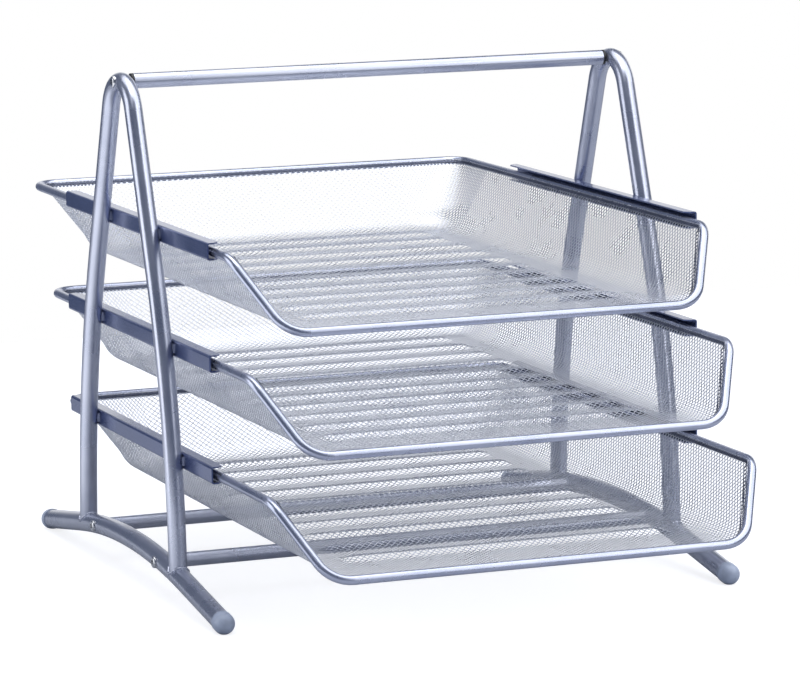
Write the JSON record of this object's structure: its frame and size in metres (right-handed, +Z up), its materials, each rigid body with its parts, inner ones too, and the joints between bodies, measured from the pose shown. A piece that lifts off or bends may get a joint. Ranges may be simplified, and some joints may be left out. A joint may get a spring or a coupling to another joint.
{
  "type": "letter tray stack",
  "caption": "Tiered mesh letter trays that slide in the rails of a tubular A-frame stand with a handle bar across its top.",
  "frame": {"origin": "on the floor, in the middle of the whole footprint with the trays as they stand at rest", "axes": "+X to the right and -Y to the front, where the trays pull out; +Z up"},
  "size_m": [0.3078, 0.4472, 0.2835],
  "materials": {
    "silver_tube": "semi-gloss silver paint",
    "silver_rail": "semi-gloss silver paint",
    "silver_rim": "semi-gloss silver paint",
    "silver_mesh": "satin silver paint on expanded mesh",
    "black_plastic": "matte",
    "grey_plastic": "soft gloss",
    "steel_screw": "bright plated"
  },
  "bodies": {
    "stand": {"left_side_frame": "silver_tube", "left_foot_tube": "silver_tube", "front_left_foot_cap": "grey_plastic", "rear_left_foot_cap": "grey_plastic", "left_top_rail": "silver_rail", "left_middle_rail": "silver_rail", "left_bottom_rail": "silver_rail", "left_rail_welds": "silver_rail", "left_handle_plug": "black_plastic", "right_side_frame": "silver_tube", "right_foot_tube": "silver_tube", "front_right_foot_cap": "grey_plastic", "rear_right_foot_cap": "grey_plastic", "right_top_rail": "silver_rail", "right_middle_rail": "silver_rail", "right_bottom_rail": "silver_rail", "right_rail_welds": "silver_rail", "right_handle_plug": "black_plastic", "handle_bar": "silver_tube", "handle_screws": "steel_screw", "foot_screws": "steel_screw", "front_cross_bar": "silver_tube", "front_left_cross_bar_plug": "grey_plastic", "front_right_cross_bar_plug": "grey_plastic", "rear_cross_bar": "silver_tube", "rear_left_cross_bar_plug": "grey_plastic", "rear_right_cross_bar_plug": "grey_plastic"},
    "top_tray": {"top_tray_rim": "silver_rim", "top_tray_basket": "silver_mesh"},
    "middle_tray": {"middle_tray_rim": "silver_rim", "middle_tray_basket": "silver_mesh"},
    "bottom_tray": {"bottom_tray_rim": "silver_rim", "bottom_tray_basket": "silver_mesh"}
  },
  "joints": [
    {"name": "top_tray_slide", "type": "slide", "parent": "stand", "child": "top_tray", "axis": [0, -1, 0], "range_m": [-0.01, 0.2]},
    {"name": "middle_tray_slide", "type": "slide", "parent": "stand", "child": "middle_tray", "axis": [0, -1, 0], "range_m": [-0.041, 0.2]},
    {"name": "bottom_tray_slide", "type": "slide", "parent": "stand", "child": "bottom_tray", "axis": [0, -1, 0], "range_m": [-0.069, 0.17]}
  ]
}
